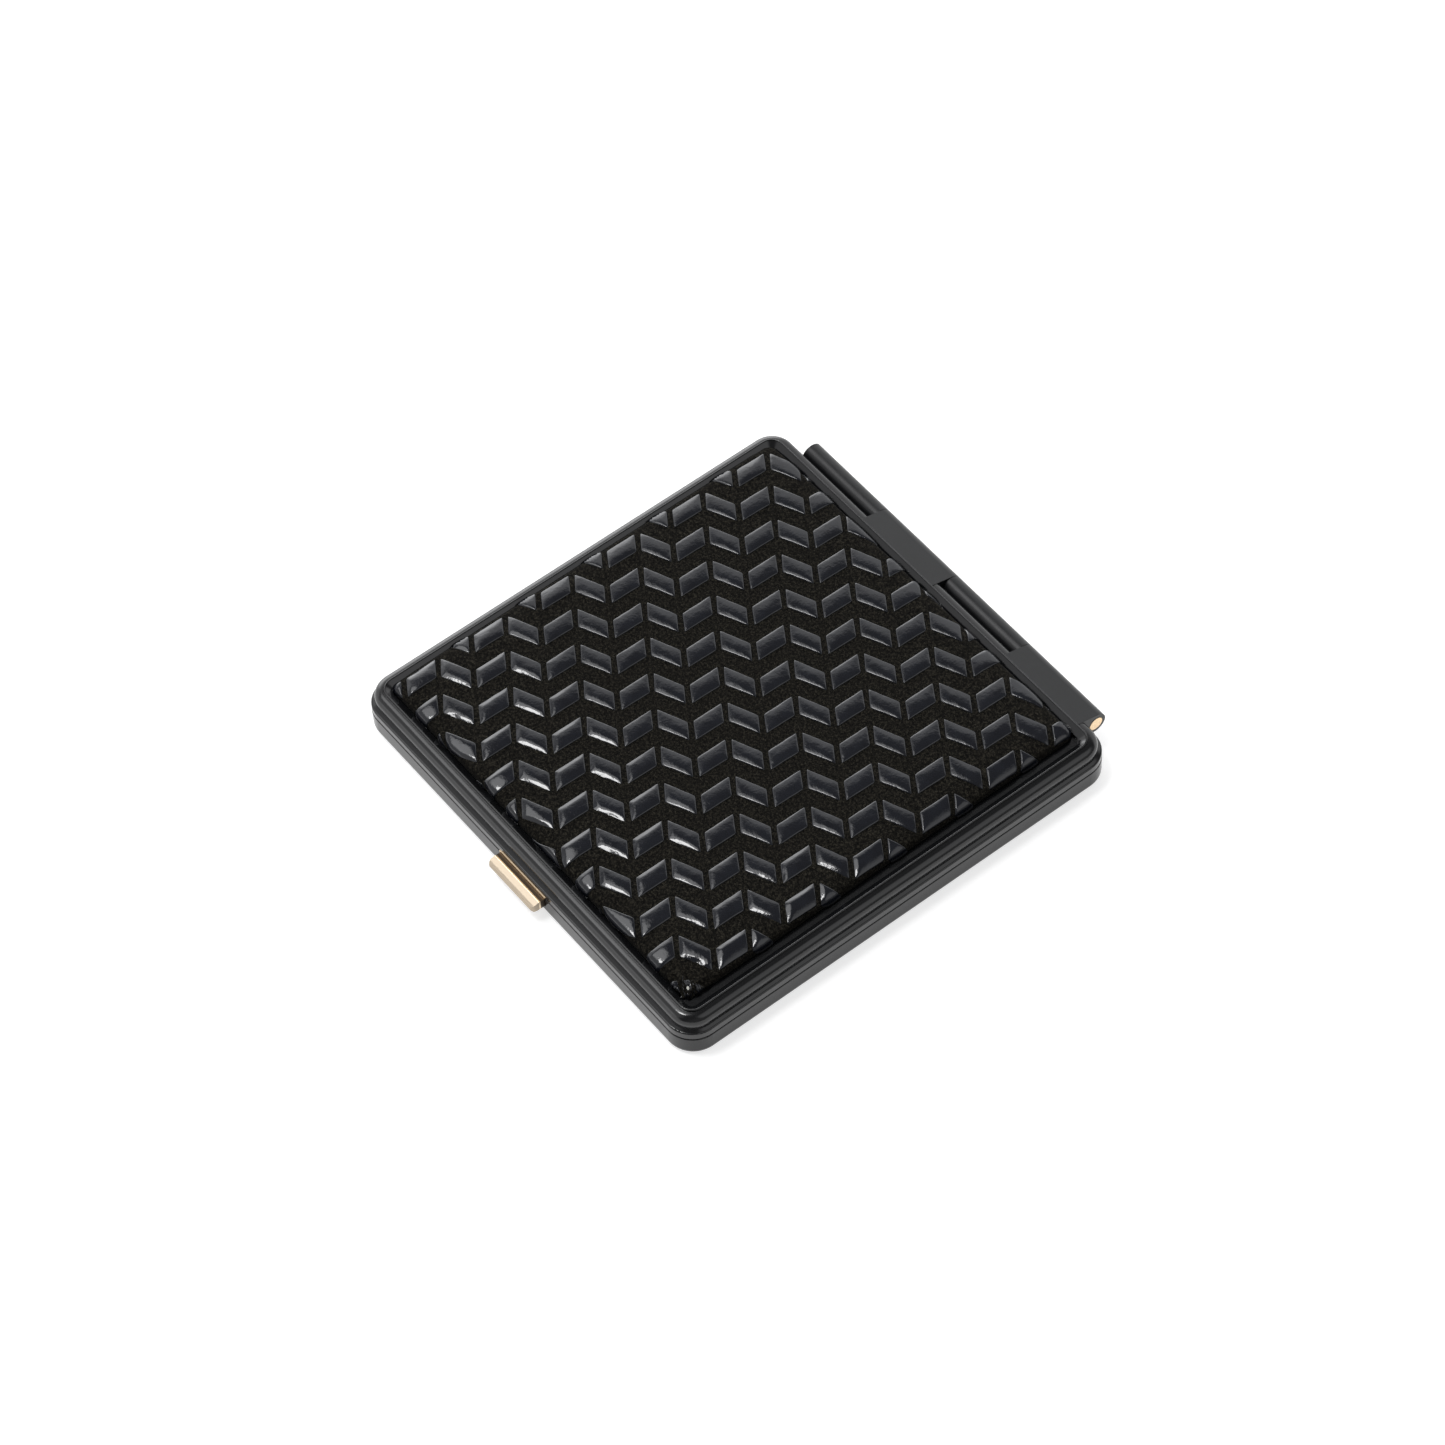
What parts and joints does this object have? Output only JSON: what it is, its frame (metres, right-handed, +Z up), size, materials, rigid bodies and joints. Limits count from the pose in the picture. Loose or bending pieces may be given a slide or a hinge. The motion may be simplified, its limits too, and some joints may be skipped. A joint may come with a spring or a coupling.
{
  "type": "powder compact",
  "caption": "Slim square hinged powder compact with a padded leather lid panel, mirror, powder pan, puff and a push latch.",
  "frame": {"origin": "centre of the flat underside the closed case rests on", "axes": "+Z up out of the lid, hinge at +Y, latch at -Y, +X to the right seen from the latch side"},
  "size_m": [0.075, 0.0802, 0.0083],
  "materials": {
    "black_enamel_base": "gloss",
    "tray_black": "satin",
    "black_enamel_hinge": "satin",
    "pin_brass": "polished",
    "pan_aluminium": "satin",
    "pressed_powder": "matte",
    "glue_pad": "matte",
    "puff_velour": "velour",
    "puff_ribbon": "satin",
    "latch_brass": "satin",
    "spring_steel": "satin",
    "champagne_gold": "satin",
    "black_enamel_lid": "gloss",
    "catch_gold": "polished",
    "bumper_rubber": "matte",
    "mirror_frame_black": "gloss",
    "mirror_pad": "matte",
    "mirror_silver": "mirror",
    "panel_board": "matte",
    "panel_foam": "matte",
    "lid_leather": "suede"
  },
  "bodies": {
    "base": {"base_shell": "black_enamel_base", "base_inner_tray": "tray_black", "base_knuckle_left": "black_enamel_hinge", "base_knuckle_middle": "black_enamel_hinge", "hinge_pin": "pin_brass", "powder_pan": "pan_aluminium", "powder_cake": "pressed_powder", "pan_glue_pad": "glue_pad", "puff_body": "puff_velour", "puff_ribbon": "puff_ribbon", "latch_bracket": "latch_brass", "latch_rivets": "latch_brass", "latch_spring": "spring_steel"},
    "lid": {"lid_shell": "black_enamel_lid", "lid_knuckle_middle": "black_enamel_hinge", "lid_knuckle_right": "black_enamel_hinge", "lid_catch": "catch_gold", "catch_rivets": "latch_brass", "lid_bumpers": "bumper_rubber", "mirror_frame": "mirror_frame_black", "mirror_pad": "mirror_pad", "mirror_glass": "mirror_silver", "panel_board": "panel_board", "panel_foam": "panel_foam", "panel_leather": "lid_leather"},
    "latch": {"thumb_piece": "champagne_gold", "latch_bar": "latch_brass"}
  },
  "joints": [
    {"name": "lid_hinge", "type": "hinge", "parent": "base", "child": "lid", "pos_m": [0, 0.03875, 0.0047], "axis": [-1, 0, 0], "range_deg": [0, 120]},
    {"name": "latch_push", "type": "slide", "parent": "base", "child": "latch", "axis": [0, 1, 0], "range_m": [0, 0.0006], "stiffness_N_per_m": 3000, "springref_m": -0.0004, "deforming": ["latch_spring"]}
  ]
}
